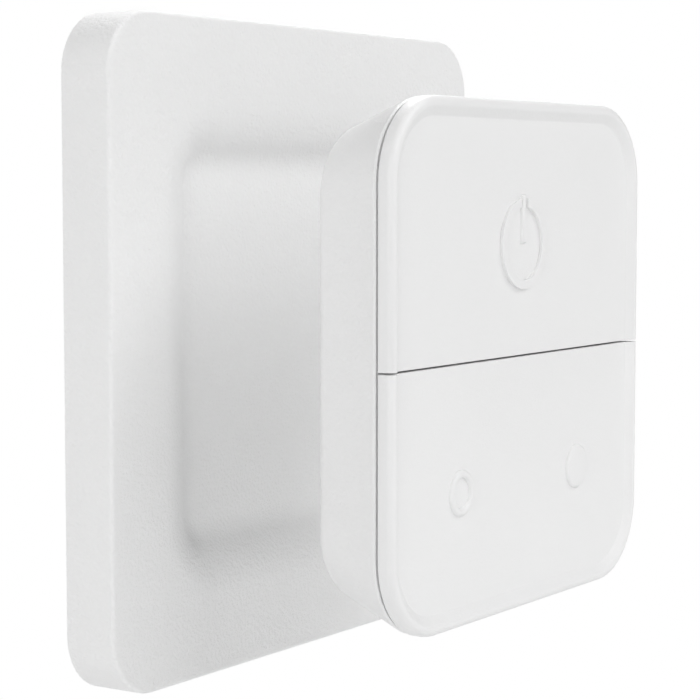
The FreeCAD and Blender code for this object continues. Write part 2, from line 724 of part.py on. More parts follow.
# Dome switches: a square base with a round cup, and a stem that its dome holds against the key.
SWITCHES = {
    "power": ("0", "Sizes.power_switch_z"),
    "dim_down": ("-Sizes.dim_switch_x", "Sizes.dim_switch_z"),
    "dim_up": ("Sizes.dim_switch_x", "Sizes.dim_switch_z"),
}
for name, place in SWITCHES.items():
    switch = sub_part(f"{name}_switch", on_remote=True)
    base = rectangle(switch, BOARD_FRONT, "Sizes.switch_side", "Sizes.switch_side", *place)
    pad(switch, base, "Sizes.switch_thick")
    cup = circle(
        switch, f"{SWITCH_TOP} - Sizes.switch_cup", "Sizes.stem_bore + 2 * Sizes.stem_gap", *place
    )
    pocket(switch, cup, "Sizes.switch_cup")
    stem = sub_part(f"{name}_stem", on_remote=True)
    pad(stem, circle(stem, f"{SWITCH_TOP} - Sizes.stem_sink", "Sizes.stem_bore", *place), "Sizes.stem_length")


# Key frame: the moulded plate between board and keys, with a window for each switch.
frame = sub_part("key_frame", on_remote=True)
frame_outline = square(
    frame,
    "Sizes.frame_lift",
    "Sizes.remote_side - 2 * (Sizes.housing_wall + Sizes.frame_gap)",
    "Sizes.remote_corner - Sizes.housing_wall - Sizes.frame_gap",
)
pad(frame, frame_outline, "Sizes.frame_thick")

# Spacers stand on the board, and two lugs carry the ends of the rocker's pin.
for side, level in CORNERS:
    place = (f"{side}Sizes.screw_place", f"{level}Sizes.screw_place")
    pad(frame, circle(frame, BOARD_FRONT, BOSS_WIDTH, *place), f"Sizes.frame_lift - {BOARD_FRONT}")
    pocket(frame, circle(frame, BOARD_FRONT, SCREW_HOLE, *place), f"{FRAME_TOP} - {BOARD_FRONT}")
PIN_TOP = "(-Sizes.eye_top + Sizes.eye_thick / 2 + Sizes.eye_gap + Sizes.pin_seat)"
PIN_LENGTH = "(Sizes.eye_bottom - Sizes.eye_top + Sizes.eye_thick + 2 * Sizes.eye_gap + 2 * Sizes.pin_seat)"
LUG_OFFSET = "(Sizes.eye_thick / 2 + Sizes.eye_gap + Sizes.frame_eye_thick / 2)"
for level in (f"-Sizes.eye_top + {LUG_OFFSET}", f"-Sizes.eye_bottom - {LUG_OFFSET}"):
    pin_lug = rectangle(
        frame, FRAME_TOP, "Sizes.frame_eye_width", "Sizes.frame_eye_thick", "0", level
    )
    pad(frame, pin_lug, f"Sizes.pin_lift + {EYE_RADIUS} - {FRAME_TOP}")


def circle_upright(part, width, start):
    """A circle square to the rocker's pin, centred on it, with its plane at this height."""
    sketch = part.newObject("Sketcher::SketchObject", part.Name + "_round")
    sketch.AttachmentSupport = (plane(part, "XY_Plane"), [""])
    sketch.MapMode = "FlatFace"
    sketch.setExpression(".AttachmentOffset.Base.y", "-Sizes.pin_lift")
    sketch.setExpression(".AttachmentOffset.Base.z", start)
    sketch.addGeometry(Part.Circle(FreeCAD.Vector(0, 0, 0), FreeCAD.Vector(0, 0, 1), DRAWN / 2), False)
    sketch.addConstraint(Sketcher.Constraint("Coincident", 0, 3, -1, 1))
    sketch.addConstraint(Sketcher.Constraint("Diameter", 0, DRAWN))
    name_last(sketch, "width", width)
    return sketch


pin_seat = circle_upright(
    frame, "Sizes.pin_bore + 2 * Sizes.pin_seat_gap", f"{PIN_TOP} - {PIN_LENGTH} - Sizes.pin_seat_gap"
)
pocket(frame, pin_seat, f"{PIN_LENGTH} + 2 * Sizes.pin_seat_gap")

WINDOW = "(Sizes.switch_side + 2 * Sizes.frame_window_gap)"
for place in SWITCHES.values():
    pocket(frame, rectangle(frame, "Sizes.frame_lift", WINDOW, WINDOW, *place), "Sizes.frame_thick")
module_window = rectangle(
    frame,
    "Sizes.frame_lift",
    "Sizes.module_width + 2 * Sizes.frame_window_gap",
    "Sizes.module_height + 2 * Sizes.frame_window_gap",
    "Sizes.module_x",
    "Sizes.module_z",
)
pocket(frame, module_window, "Sizes.frame_thick")
for level in ("-Sizes.eye_top", "-Sizes.eye_bottom"):
    eye_slot = rectangle(
        frame,
        "Sizes.frame_lift",
        f"2 * ({EYE_RADIUS} + Sizes.eye_gap)",
        "Sizes.eye_thick + 2 * Sizes.eye_gap",
        "0",
        level,
    )
    pocket(frame, eye_slot, "Sizes.frame_thick")
LEGS = [(side, level) for side in ("-", "") for level in ("Sizes.leg_z", "Sizes.leg_z + Sizes.leg_pitch")]
for side, level in LEGS:
    leg_slot = rectangle(
        frame,
        "Sizes.frame_lift",
        "Sizes.leg_width + 2 * Sizes.leg_gap",
        "Sizes.leg_thick + 2 * Sizes.leg_gap",
        f"{side}Sizes.leg_x",
        level,
    )
    pocket(frame, leg_slot, "Sizes.frame_thick")


# Frame screws: four equal self-tapping screws through frame and board into the housing's bosses.
screws = sub_part("frame_screws", on_remote=True)
screws.AllowCompound = True
for side, level in CORNERS:
    place = (f"{side}Sizes.screw_place", f"{level}Sizes.screw_place")
    pad(screws, circle(screws, SCREW_TIP, "Sizes.screw_bore", *place), "Sizes.screw_length")
    pad(screws, circle(screws, FRAME_TOP, "Sizes.screw_head", *place), "Sizes.screw_head_thick")


# Rocker pin: a plain steel pin, held at both ends by the frame's lugs.
pin = sub_part("dimmer_pivot_pin", on_remote=True)
pad(pin, circle_upright(pin, "Sizes.pin_bore", f"{PIN_TOP} - {PIN_LENGTH}"), PIN_LENGTH)


# Keys: each is one half of a dished square cap, with a raised rim that slopes in to a flat face.
LIP_SIDE = "(Sizes.remote_side - 2 * (Sizes.housing_wall + Sizes.lip_gap))"
LIP_CORNER = "(Sizes.remote_corner - Sizes.housing_wall - Sizes.lip_gap)"
LIP_REAR = f"({KEY_INNER} - Sizes.lip_depth)"


def key_half(name, side_of_seam):
    """The upper key is on the "" side of the seam, and the lower key on the "-" side."""
    key = sub_part(name, on_remote=True)
    spare = 0.5
    pad(
        key,
        square(key, KEY_REAR, "Sizes.remote_side", "Sizes.remote_corner"),
        f"{KEY_RIM} - {KEY_REAR} + {spare}",
    )
    pad(key, square(key, LIP_REAR, LIP_SIDE, LIP_CORNER), f"{KEY_REAR} - {LIP_REAR}")
    dish = key.newObject("PartDesign::SubtractiveLoft", name + "_dish")
    dish.Profile = square(
        key, KEY_FACE, "Sizes.remote_side - 2 * Sizes.key_bevel", "Sizes.key_inner_corner"
    )
    wide = square(
        key,
        f"2 * {KEY_RIM} - {KEY_FACE}",
        "Sizes.remote_side + 2 * Sizes.key_bevel",
        "2 * Sizes.remote_corner - Sizes.key_inner_corner",
    )
    dish.Sections = [(wide, [""])]
    dish.Ruled = True
    doc.recompute()
    rim_depth = size("housing_depth") + size("key_rim")
    fillet(key, outer_edges(key, rim_depth, size("remote_side") / 2), "Sizes.key_edge")
    inside = square(
        key, LIP_REAR, f"{LIP_SIDE} - 2 * Sizes.lip_wall", f"{LIP_CORNER} - Sizes.lip_wall"
    )
    pocket(key, inside, "Sizes.lip_depth")

    # The other half is cut away, and a wall closes the key along the seam.
    other = "-" if side_of_seam == "" else ""
    beyond = rectangle(
        key,
        f"{LIP_REAR} - {spare}",
        "2 * Sizes.remote_side",
        "2 * Sizes.remote_side",
        "0",
        f"{other}(Sizes.remote_side - Sizes.key_seam / 2)",
    )
    pocket(key, beyond, f"{KEY_RIM} - {LIP_REAR} + 2 * {spare}")
    seam_wall = rectangle(
        key,
        LIP_REAR,
        LIP_SIDE,
        "Sizes.lip_wall",
        "0",
        f"{side_of_seam}(Sizes.key_seam + Sizes.lip_wall) / 2",
    )
    pad(key, seam_wall, "Sizes.lip_depth")
    return key


power_key = key_half("power_key", "")
plunger = circle(power_key, STEM_TOP, "Sizes.plunger_bore", *SWITCHES["power"])
pad(power_key, plunger, f"{KEY_INNER} - {STEM_TOP}")

# Four legs guide the power key in the frame, and their barbs keep it from falling out.
BARB_TOP = "(Sizes.frame_lift - Sizes.barb_gap)"
BARB_REAR = f"({BARB_TOP} - Sizes.barb_thick)"
for side, level in LEGS:
    leg = rectangle(
        power_key, BARB_REAR, "Sizes.leg_width", "Sizes.leg_thick", f"{side}Sizes.leg_x", level
    )
    pad(power_key, leg, f"{KEY_INNER} - {BARB_REAR}")
    barb = rectangle(
        power_key,
        BARB_REAR,
        "Sizes.leg_width + Sizes.barb_reach",
        "Sizes.leg_thick",
        f"{side}(Sizes.leg_x + Sizes.barb_reach / 2)",
        level,
    )
    pad(power_key, barb, "Sizes.barb_thick")

dimmer_key = key_half("dimmer_key", "-")
for name in ("dim_down", "dim_up"):
    plunger = circle(dimmer_key, STEM_TOP, "Sizes.plunger_bore", *SWITCHES[name])
    pad(dimmer_key, plunger, f"{KEY_INNER} - {STEM_TOP}")

# Two eyes under the lower key turn on the pin.
for level in ("-Sizes.eye_top", "-Sizes.eye_bottom"):
    eye_neck = rectangle(dimmer_key, "Sizes.pin_lift", f"2 * {EYE_RADIUS}", "Sizes.eye_thick", "0", level)
    pad(dimmer_key, eye_neck, f"{KEY_INNER} - Sizes.pin_lift")
    eye_round = circle_upright(dimmer_key, f"2 * {EYE_RADIUS}", f"{level} - Sizes.eye_thick / 2")
    pad(dimmer_key, eye_round, "Sizes.eye_thick")
eye_bore = circle_upright(
    dimmer_key, "Sizes.pin_bore + 2 * Sizes.pin_run_gap", f"{PIN_TOP} - {PIN_LENGTH}"
)
pocket(dimmer_key, eye_bore, PIN_LENGTH)


# Check and export.
doc.recompute()
for feature in doc.Objects:
    if "Invalid" in feature.State or "Error" in feature.State:
        raise ValueError(f"{feature.Name} is {feature.State}")
os.makedirs("parts", exist_ok=True)
for part in SUB_PARTS:
    if part.Shape.isNull() or not part.Shape.isValid():
        raise ValueError(f"{part.Label} has no valid shape")
    part.Shape.exportStep(f"parts/{part.Label}.step")
print(len(SUB_PARTS), "sub-parts")
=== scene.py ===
import math

import bmesh
import bpy
from mathutils import Matrix, Vector


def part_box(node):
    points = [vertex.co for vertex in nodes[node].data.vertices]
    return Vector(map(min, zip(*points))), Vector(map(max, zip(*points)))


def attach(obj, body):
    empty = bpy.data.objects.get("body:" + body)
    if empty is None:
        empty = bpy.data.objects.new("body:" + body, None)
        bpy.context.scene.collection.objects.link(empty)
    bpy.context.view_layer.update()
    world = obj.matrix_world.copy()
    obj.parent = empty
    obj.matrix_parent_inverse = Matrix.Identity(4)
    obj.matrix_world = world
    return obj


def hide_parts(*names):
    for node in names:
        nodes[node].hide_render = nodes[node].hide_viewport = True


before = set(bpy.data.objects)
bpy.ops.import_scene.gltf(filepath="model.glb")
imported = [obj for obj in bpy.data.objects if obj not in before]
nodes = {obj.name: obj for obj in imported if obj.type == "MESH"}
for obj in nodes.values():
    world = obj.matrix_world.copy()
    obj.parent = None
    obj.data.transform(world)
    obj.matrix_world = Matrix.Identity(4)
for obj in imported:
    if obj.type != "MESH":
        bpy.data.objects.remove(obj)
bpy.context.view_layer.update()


# Wall plate: the white shell that stays on the wall, injection moulded in ABS with a fine spark-eroded
# grain. It is an open box with a dished square recess, where the remote sits: its side rolls in and then
# hollows out to a flat floor. Four stakes inside hold its back plate.
PLATE_SIDE = 80.0
PLATE_DEPTH = 7.0
PLATE_CORNER = 7.3
PLATE_EDGE = 0.5
PLATE_EDGE_STEPS = 8
PLATE_WALL = 1.8
FACE_STRIP = 0.5
DISH_SIDE = 60.2
DISH_CORNER = 10.2
DISH_RUN = 6.0
DISH_DEPTH = 2.05
DISH_STEPS = 20
DISH_SINK = 1.0
DISH_SINK_STEPS = 14
DISH_FLOOR = 1.3
ISLAND_INSET = 2.4
STAKE_PLACE = 33.4
STAKE_WIDTH = 2.4
STAKE_SINK = 0.6
STAKE_ROOT = 0.2
PLATE_WHITE = (0.85, 0.85, 0.85, 1.0)
PLASTIC_IOR = 1.5
PLASTIC_SPECULAR = 0.4
FLOW_SCALE = 60
FLOW_DETAIL = 3
GRAIN_DETAIL = 4
GRAIN_ROUGHNESS = 0.6
TO_METRES = 0.001
CORNER_STEPS = 14
END_STRIP = 0.4
FRONT = math.radians(90)
BACK = math.radians(-90)
STRAIGHT_ON = math.radians(0)
INWARD = math.radians(90)
BACKWARD = math.radians(180)


def rounded_square(bm, side, corner, place, facing):
    """One flat face with four round corners, which looks to the front or the back from this place along Y."""
    known = set(bm.faces)
    turned = Matrix.Translation((0, place, 0)) @ Matrix.Rotation(facing, 4, "X")
    made = bmesh.ops.create_grid(bm, x_segments=1, y_segments=1, size=side / 2, matrix=turned)
    bmesh.ops.bevel(
        bm, geom=made["verts"], offset=corner, offset_type="OFFSET", segments=CORNER_STEPS,
        profile=0.5, affect="VERTICES", material=-1,
    )
    return next(face for face in bm.faces if face not in known)


def run(bm, face, length, heading):
    """Carries a face's outline on by a straight wall. Heading 0 is along its normal, 90 degrees inward."""
    bmesh.ops.inset_region(
        bm, faces=[face], thickness=length * math.sin(heading), depth=length * math.cos(heading),
        use_even_offset=True, use_boundary=True,
    )


def turn(bm, face, radius, start, end, steps):
    """Carries a face's outline on by an arc that turns from one heading to another."""
    chord = 2 * radius * math.sin(abs(end - start) / steps / 2)
    for n in range(steps):
        run(bm, face, chord, start + (end - start) * (n + 0.5) / steps)


def bridge(bm, outer, inner):
    """Opens the outer face and joins its outline to the inner face's."""
    edges = list(outer.edges) + list(inner.edges)
    bmesh.ops.delete(bm, geom=[outer], context="FACES_ONLY")
    bmesh.ops.bridge_loops(bm, edges=edges)


def peg(bm, width, start, end, x, z, segments=32):
    """A round peg square to the wall, from one place along Y to another."""
    place = Matrix.Translation((x, (start + end) / 2, z)) @ Matrix.Rotation(FRONT, 4, "X")
    bmesh.ops.create_cone(
        bm, cap_ends=True, segments=segments, radius1=width / 2, radius2=width / 2,
        depth=abs(end - start), matrix=place,
    )


def finished(bm, name, material, body, crease=math.radians(32)):
    """Writes the mesh in metres, smooth but for its creases, and sets it riding on its body."""
    bmesh.ops.recalc_face_normals(bm, faces=bm.faces)
    bmesh.ops.scale(bm, vec=(TO_METRES, TO_METRES, TO_METRES), verts=bm.verts)
    for face in bm.faces:
        face.smooth = True
    for edge in bm.edges:
        edge.smooth = edge.is_manifold and edge.calc_face_angle(0) < crease
    mesh = bpy.data.meshes.new(name)
    bm.to_mesh(mesh)
    bm.free()
    mesh.materials.append(material)
    piece = bpy.data.objects.new(name, mesh)
    bpy.context.scene.collection.objects.link(piece)
    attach(piece, body)
    return piece


def moulded(name, colour, roughness, grain_size, grain_depth, mottle=0.012, unevenness=0.06):
    """Moulded plastic: an even colour with a faint flow mottle, and the mould's grain with its size in mm."""
    material = bpy.data.materials.new(name)
    material.use_nodes = True
    tree = material.node_tree
    shader = tree.nodes["Principled BSDF"]
    shader.inputs["IOR"].default_value = PLASTIC_IOR
    shader.inputs["Specular IOR Level"].default_value = PLASTIC_SPECULAR
    place = tree.nodes.new("ShaderNodeTexCoord").outputs["Object"]

    flow = tree.nodes.new("ShaderNodeTexNoise")
    flow.inputs["Scale"].default_value = FLOW_SCALE
    flow.inputs["Detail"].default_value = FLOW_DETAIL
    tree.links.new(place, flow.inputs["Vector"])
    tint = tree.nodes.new("ShaderNodeMix")
    tint.data_type = "RGBA"
    tint.inputs["A"].default_value = tuple(c * (1 - mottle) for c in colour[:3]) + (1,)
    tint.inputs["B"].default_value = tuple(min(1, c * (1 + mottle)) for c in colour[:3]) + (1,)
    tree.links.new(flow.outputs["Fac"], tint.inputs["Factor"])
    tree.links.new(tint.outputs["Result"], shader.inputs["Base Color"])

    grain = tree.nodes.new("ShaderNodeTexNoise")
    grain.inputs["Scale"].default_value = 1 / (grain_size * TO_METRES)
    grain.inputs["Detail"].default_value = GRAIN_DETAIL
    grain.inputs["Roughness"].default_value = GRAIN_ROUGHNESS
    tree.links.new(place, grain.inputs["Vector"])
    polish = tree.nodes.new("ShaderNodeMapRange")
    polish.inputs["To Min"].default_value = roughness - unevenness
    polish.inputs["To Max"].default_value = roughness + unevenness
    tree.links.new(grain.outputs["Fac"], polish.inputs["Value"])
    tree.links.new(polish.outputs["Result"], shader.inputs["Roughness"])
    relief = tree.nodes.new("ShaderNodeBump")
    relief.inputs["Strength"].default_value = 1.0
    relief.inputs["Distance"].default_value = grain_depth * TO_METRES
    tree.links.new(grain.outputs["Fac"], relief.inputs["Height"])
    tree.links.new(relief.outputs["Normal"], shader.inputs["Normal"])
    return material


plate_bm = bmesh.new()
skin = rounded_square(plate_bm, PLATE_SIDE, PLATE_CORNER, 0, FRONT)
run(plate_bm, skin, PLATE_DEPTH - PLATE_EDGE, STRAIGHT_ON)
turn(plate_bm, skin, PLATE_EDGE, STRAIGHT_ON, INWARD, PLATE_EDGE_STEPS)
run(plate_bm, skin, FACE_STRIP, INWARD)
dish = rounded_square(plate_bm, DISH_SIDE + 2 * FACE_STRIP, DISH_CORNER + FACE_STRIP, -PLATE_DEPTH, FRONT)
bridge(plate_bm, skin, dish)
run(plate_bm, dish, FACE_STRIP, INWARD)
dish_radius = (DISH_RUN**2 + DISH_DEPTH**2) / (2 * DISH_DEPTH)
dish_slope = math.asin(DISH_RUN / dish_radius)
sink_radius = DISH_SINK / (1 - math.cos(dish_slope))
turn(plate_bm, dish, dish_radius, INWARD, INWARD + dish_slope, DISH_STEPS)
turn(plate_bm, dish, sink_radius, INWARD + dish_slope, INWARD, DISH_SINK_STEPS)
run(plate_bm, dish, END_STRIP, INWARD)

hollow = rounded_square(plate_bm, PLATE_SIDE - 2 * PLATE_WALL, PLATE_CORNER - PLATE_WALL, 0, BACK)
run(plate_bm, hollow, PLATE_DEPTH - PLATE_WALL, BACKWARD)
island = rounded_square(
    plate_bm, DISH_SIDE - 2 * ISLAND_INSET, DISH_CORNER - ISLAND_INSET, PLATE_WALL - PLATE_DEPTH, BACK
)
bridge(plate_bm, hollow, island)
run(plate_bm, island, DISH_DEPTH + DISH_FLOOR - PLATE_WALL, STRAIGHT_ON)
rims = [edge for edge in plate_bm.edges if edge.is_boundary]
bmesh.ops.bridge_loops(plate_bm, edges=rims)
for x in (-STAKE_PLACE, STAKE_PLACE):
    for z in (-STAKE_PLACE, STAKE_PLACE):
        peg(plate_bm, STAKE_WIDTH, -STAKE_SINK, PLATE_WALL - PLATE_DEPTH - STAKE_ROOT, x, z)
plate_white = moulded("plate_white", PLATE_WHITE, roughness=0.5, grain_size=0.45, grain_depth=0.18)
plate = finished(plate_bm, "plate_shell", plate_white, "wall_plate")
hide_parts("wall_plate")


# Steel plate: a square of zinc-plated sheet behind the recess floor, which the remote's magnets pull on.
# It is punched flat and drops into the back plate's tray.
ZINC = (0.56, 0.57, 0.58, 1.0)
STREAK_SCALE = 450
STREAK_DETAIL = 5
STREAK_SHADE = 0.88
STREAK_GLOSS = 0.08
STREAK_DULL = 0.1
STREAK_DEPTH = 0.004


def dress(node, material):
    """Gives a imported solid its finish."""
    for slot in nodes[node].material_slots:
        slot.material = material


def rolled_metal(name, colour, roughness, stretch=(1, 1, 12)):
    """Sheet or turned metal: streaks along the way it was worked, in its gloss and a little in its colour."""
    material = bpy.data.materials.new(name)
    material.use_nodes = True
    tree = material.node_tree
    shader = tree.nodes["Principled BSDF"]
    shader.inputs["Metallic"].default_value = 1.0
    place = tree.nodes.new("ShaderNodeTexCoord").outputs["Object"]
    along = tree.nodes.new("ShaderNodeMapping")
    along.inputs["Scale"].default_value = stretch
    tree.links.new(place, along.inputs["Vector"])
    streak = tree.nodes.new("ShaderNodeTexNoise")
    streak.inputs["Scale"].default_value = STREAK_SCALE
    streak.inputs["Detail"].default_value = STREAK_DETAIL
    tree.links.new(along.outputs["Vector"], streak.inputs["Vector"])
    tint = tree.nodes.new("ShaderNodeMix")
    tint.data_type = "RGBA"
    tint.inputs["A"].default_value = tuple(c * STREAK_SHADE for c in colour[:3]) + (1,)
    tint.inputs["B"].default_value = colour
    tree.links.new(streak.outputs["Fac"], tint.inputs["Factor"])
    tree.links.new(tint.outputs["Result"], shader.inputs["Base Color"])
    polish = tree.nodes.new("ShaderNodeMapRange")
    polish.inputs["To Min"].default_value = roughness - STREAK_GLOSS
    polish.inputs["To Max"].default_value = roughness + STREAK_DULL
    tree.links.new(streak.outputs["Fac"], polish.inputs["Value"])
    tree.links.new(polish.outputs["Result"], shader.inputs["Roughness"])
    relief = tree.nodes.new("ShaderNodeBump")
    relief.inputs["Distance"].default_value = STREAK_DEPTH * TO_METRES
    tree.links.new(streak.outputs["Fac"], relief.inputs["Height"])
    tree.links.new(relief.outputs["Normal"], shader.inputs["Normal"])
    return material


dress("steel_plate", rolled_metal("zinc_sheet", ZINC, roughness=0.34))


# Back plate: a light grey moulding that closes the shell, with a tray for the steel and a pocket for each
# tape. The plate's four stakes pass through its corner holes.
BACK_GREY = (0.6, 0.6, 0.59, 1.0)
dress("back_plate", moulded("back_grey", BACK_GREY, roughness=0.42, grain_size=0.3, grain_depth=0.012))


# Adhesive pads: two strips of white acrylic foam tape, die cut from sheet. Each is stuck in its pocket of
# the back plate, flush with the wall face.
FOAM_WHITE = (0.74, 0.74, 0.71, 1.0)
foam = moulded("foam_white", FOAM_WHITE, roughness=0.85, grain_size=0.25, grain_depth=0.05, mottle=0.03)
for node in ("adhesive_pad_upper", "adhesive_pad_lower"):
    dress(node, foam)


# Rear housing: the remote's white tray, moulded in ABS with a finer grain than the plate. Its inside is
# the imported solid's. Its sides draw in towards a flat back, level with the pad that drops into the recess.
HOUSING_WHITE = (0.84, 0.84, 0.84, 1.0)
HOUSING_CORNER = 9.95
HOUSING_EDGE = 1.2
RING_BACK = -28.8
FLOOR_FRONT = -30.4
FRAME_BACK = -32.65
BACK_DRAW = 3.65
BACK_CORNER = 8.1
INNER_DRAW = 0.3
FLOOR_DRAW = 1.6
PAD_REACH = 1.4
OUTER_REACH = 0.8
INNER_REACH = 3.4
SORT_MARGIN = 0.1
SAME_PLACE = 0.001
WELD_REACH = 0.005
housing_white = moulded("housing_white", HOUSING_WHITE, roughness=0.45, grain_size=0.4, grain_depth=0.12)
low, high = (corner / TO_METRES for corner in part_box("rear_housing"))
HOUSING_FRONT = low.y
REMOTE_LEVEL = (low.z + high.z) / 2
corner_centre = high.x - HOUSING_CORNER
housing_bm = bmesh.new()
housing_bm.from_mesh(nodes["rear_housing"].data)
bmesh.ops.scale(housing_bm, vec=(1 / TO_METRES, 1 / TO_METRES, 1 / TO_METRES), verts=housing_bm.verts)
bmesh.ops.translate(housing_bm, vec=(0, 0, -REMOTE_LEVEL), verts=housing_bm.verts)
bmesh.ops.remove_doubles(housing_bm, verts=housing_bm.verts, dist=SAME_PLACE)
bmesh.ops.bisect_plane(
    housing_bm, geom=housing_bm.verts[:] + housing_bm.edges[:] + housing_bm.faces[:],
    plane_co=(0, FRAME_BACK, 0), plane_no=(0, 1, 0),
)
for vert in housing_bm.verts:
    nearest = Vector((
        max(-corner_centre, min(corner_centre, vert.co.x)),
        max(-corner_centre, min(corner_centre, vert.co.z)),
    ))
    reach = Vector((vert.co.x, vert.co.z)) - nearest
    behind_floor = vert.co.y > FLOOR_FRONT + SORT_MARGIN
    on_back_edge = behind_floor and reach.length > HOUSING_CORNER - HOUSING_EDGE - SORT_MARGIN
    if on_back_edge or reach.length > HOUSING_CORNER - OUTER_REACH:
        vert.co.y = low.y + (vert.co.y - low.y) * (high.y - low.y) / (RING_BACK - low.y)
        share = (vert.co.y - low.y) / (high.y - low.y)
        reach *= 1 - share * (HOUSING_CORNER - BACK_CORNER) / reach.length
        nearest *= 1 - share * (BACK_DRAW - HOUSING_CORNER + BACK_CORNER) / corner_centre
    elif reach.length > HOUSING_CORNER - INNER_REACH and not behind_floor:
        if vert.co.y < FRAME_BACK:
            draw = INNER_DRAW * (vert.co.y - low.y) / (FRAME_BACK - low.y)
        else:
            draw = (vert.co.y - FRAME_BACK) / (FLOOR_FRONT - FRAME_BACK)
            draw = INNER_DRAW + (FLOOR_DRAW - INNER_DRAW) * draw
        reach *= 1 - draw / reach.length
    elif reach.length > PAD_REACH and vert.co.y > RING_BACK - SORT_MARGIN:
        vert.co.y = high.y
    vert.co.x, vert.co.z = nearest + reach
bmesh.ops.remove_doubles(housing_bm, verts=housing_bm.verts, dist=WELD_REACH)
bmesh.ops.dissolve_degenerate(housing_bm, edges=housing_bm.edges, dist=WELD_REACH)
bmesh.ops.translate(housing_bm, vec=(0, 0, REMOTE_LEVEL), verts=housing_bm.verts)
housing = finished(housing_bm, "housing_shell", housing_white, "remote")
housing.modifiers.new("even_shading", "WEIGHTED_NORMAL").keep_sharp = True
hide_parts("rear_housing")


# Magnets: four sintered discs, plated with nickel. They sit in cups at the corners of the housing's pad
# and pull on the wall plate's steel.
NICKEL = (0.66, 0.64, 0.6, 1.0)
nickel = rolled_metal("nickel_plating", NICKEL, roughness=0.22, stretch=(1, 1, 1))
for node in ("magnet_upper_left", "magnet_upper_right", "magnet_lower_left", "magnet_lower_right"):
    dress(node, nickel)


# Coin cell: a stainless can crimped over its smaller cap. It lies in the battery cover's ring, with one
# contact at its side and one in front of it.
CAN_STEEL = (0.68, 0.68, 0.67, 1.0)
dress("coin_cell", rolled_metal("cell_steel", CAN_STEEL, roughness=0.25, stretch=(1, 6, 1)))


# Battery cover: a round white cap in the pad, moulded as the housing is. It is turned by a coin in its
# slot, and three lugs hold it.
dress("battery_cover", housing_white)


# Cell contacts: a side clip and a dished centre contact, pressed from nickel-plated spring strip. Both are
# soldered to the board.
SPRING_NICKEL = (0.72, 0.69, 0.62, 1.0)
spring_strip = rolled_metal("spring_strip", SPRING_NICKEL, roughness=0.3)
dress("positive_clip", spring_strip)
dress("negative_contact", spring_strip)


# Circuit board: a square of glass-fibre laminate under green solder mask, with copper tracks showing
# through it. It is cut out with a router and lies in the housing, under the key frame.
MASK_GREEN = (0.02, 0.16, 0.07, 1.0)
TRACK_GREEN = (0.05, 0.3, 0.13, 1.0)
TRACK_SCALE = 160
TRACK_WIDTH = 0.012
laminate = moulded("solder_mask", MASK_GREEN, roughness=0.3, grain_size=0.2, grain_depth=0.004)
tree = laminate.node_tree
tracks = tree.nodes.new("ShaderNodeTexBrick")
tracks.inputs["Color1"].default_value = MASK_GREEN
tracks.inputs["Color2"].default_value = MASK_GREEN
tracks.inputs["Mortar"].default_value = TRACK_GREEN
tracks.inputs["Scale"].default_value = TRACK_SCALE
tracks.inputs["Mortar Size"].default_value = TRACK_WIDTH
upright = tree.nodes.new("ShaderNodeMapping")
upright.inputs["Rotation"].default_value = (FRONT, 0, 0)
tree.links.new(tree.nodes["Texture Coordinate"].outputs["Object"], upright.inputs["Vector"])
tree.links.new(upright.outputs["Vector"], tracks.inputs["Vector"])
tree.links.new(tracks.outputs["Color"], tree.nodes["Principled BSDF"].inputs["Base Color"])
dress("circuit_board", laminate)


# Radio module: a shield can over the radio's parts, drawn from thin tinned sheet and faintly brushed. Its
# rim is soldered to the board.
TIN = (0.64, 0.64, 0.63, 1.0)
dress("radio_module", rolled_metal("tinned_shield", TIN, roughness=0.3, stretch=(12, 1, 1)))


# Dome switches: three black moulded bases, soldered to the board, with a natural nylon stem in each. The
# dome inside presses its stem against the key.
SWITCH_BLACK = (0.02, 0.02, 0.022, 1.0)
STEM_NATURAL = (0.66, 0.62, 0.5, 1.0)
switch_black = moulded(
    "switch_black", SWITCH_BLACK, roughness=0.4, grain_size=0.2, grain_depth=0.008, mottle=0.1
)
stem_natural = moulded(
    "stem_natural", STEM_NATURAL, roughness=0.35, grain_size=0.2, grain_depth=0.005, mottle=0.03
)
for place in ("power", "dim_down", "dim_up"):
    dress(f"{place}_switch", switch_black)
    dress(f"{place}_stem", stem_natural)


# Key frame, its screws and the rocker's pin: a light grey moulding over the board, which guides the keys.
# Four plated self-tapping screws hold it, and the lower key rocks on the ground steel pin.
SCREW_STEEL = (0.58, 0.58, 0.59, 1.0)
dress("key_frame", moulded("frame_grey", BACK_GREY, roughness=0.42, grain_size=0.3, grain_depth=0.012))
dress("frame_screws", rolled_metal("screw_steel", SCREW_STEEL, roughness=0.28, stretch=(1, 8, 1)))
dress("dimmer_pivot_pin", rolled_metal("pin_steel", SCREW_STEEL, roughness=0.2, stretch=(1, 1, 8)))


# Keys: two halves of one dished square cap, moulded in white ABS with a very fine spark finish. The raised
# rim rolls over at its outer edge and slopes in to a flat face. The upper key has four barbed legs, and
# the lower key rocks on two eyes.
KEY_SIDE = 61.6
KEY_CORNER = 9.95
KEY_GAP = 0.39
KEY_FACE = 1.53
KEY_TOP = 1.5
KEY_RIM = 3.0
KEY_BEVEL = 2.3
RIM_RADIUS = 0.85
RIM_STEPS = 12
KEY_CREASE = 0.3
REAR_RADIUS = 0.12
SMALL_EDGE_STEPS = 4
KEY_SEAM = 0.25
SEAM_RADIUS = 0.1
SEAM_STEPS = 3
LIP_INSET = 2.15
LIP_WALL = 1.1
LIP_DEPTH = 1.1
SEAM_WALL_SHIFT = 0.02
JOINT = 0.1
ROOT = 0.3
LEG = (3.2, 1.3)
LEG_END = -3.45
LEG_PLACES = ((-17.0, 5.4), (17.0, 5.4), (-17.0, 24.4), (17.0, 24.4))
BARB_REACH = 0.6
BARB_THICK = 0.4
PLUNGER_WIDTH = 3.2
PLUNGER_END = -1.9
POWER_PLUNGER_LEVEL = 14.4
